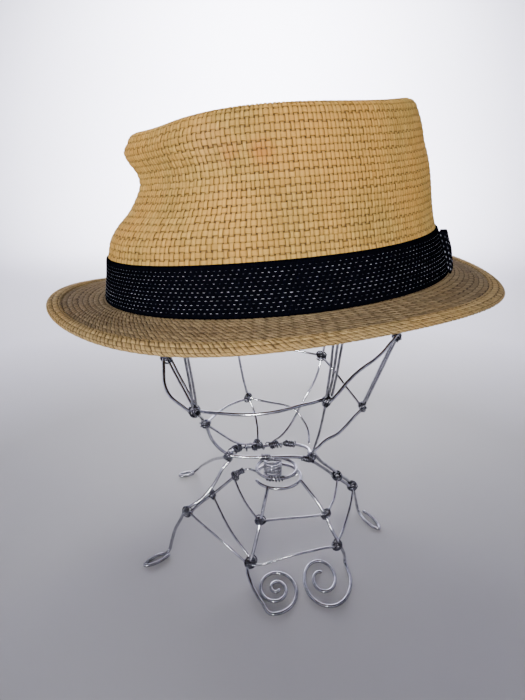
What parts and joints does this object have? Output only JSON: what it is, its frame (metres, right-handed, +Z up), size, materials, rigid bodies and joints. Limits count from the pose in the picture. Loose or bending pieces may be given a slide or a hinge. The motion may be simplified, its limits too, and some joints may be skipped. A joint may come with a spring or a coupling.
{
  "type": "straw hat on wire stand",
  "caption": "Woven straw trilby with a pinched crown, short brim and dark dashed ribbon band, resting on an open wire stand with scroll and loop feet.",
  "frame": {"origin": "middle of the bounding box in plan, at the height the feet stand on", "axes": "+Z up; the hat's front points to -X and its left side to -Y"},
  "size_m": [0.265, 0.2248, 0.285],
  "materials": {
    "straw": "woven, matt",
    "straw_tip": "woven, matt",
    "straw_hem": "woven, matt",
    "ribbon": "ribbed, with pale dashes",
    "wire": "bright drawn"
  },
  "bodies": {
    "root": {"crown": "straw", "crown_tip": "straw_tip", "brim": "straw", "brim_edge": "straw_hem", "band": "ribbon", "band_tab": "ribbon", "leg_front_left": "wire", "leg_front_right": "wire", "leg_left": "wire", "leg_right": "wire", "leg_back": "wire", "thigh_left": "wire", "thigh_right": "wire", "hub_bar": "wire", "hub_ring_back": "wire", "hub_ring_low": "wire", "hub_ring_mid": "wire", "hub_coil": "wire", "hub_link": "wire", "rung_high": "wire", "rung_low": "wire", "brace_left_outer": "wire", "brace_left_inner": "wire", "brace_left_high": "wire", "brace_right_high": "wire", "brace_right_low": "wire", "cage_front": "wire", "cage_left": "wire", "cage_left_pair_1": "wire", "cage_left_pair_2": "wire", "cage_right": "wire", "cage_right_pair_1": "wire", "cage_right_pair_2": "wire", "cage_right_back": "wire", "cage_right_low": "wire", "cage_left_low": "wire", "cage_left_hub": "wire", "cage_left_back": "wire", "cage_back": "wire", "cage_back_cross": "wire", "cage_back_top": "wire", "cage_front_right_low": "wire", "tip_ring": "wire", "stave_front": "wire", "stave_back": "wire", "stave_left_front_1": "wire", "stave_left_front_2": "wire", "stave_left_back_1": "wire", "stave_left_back_2": "wire", "stave_left_back_3": "wire", "stave_right_front": "wire", "stave_right_back": "wire"}
  },
  "joints": []
}
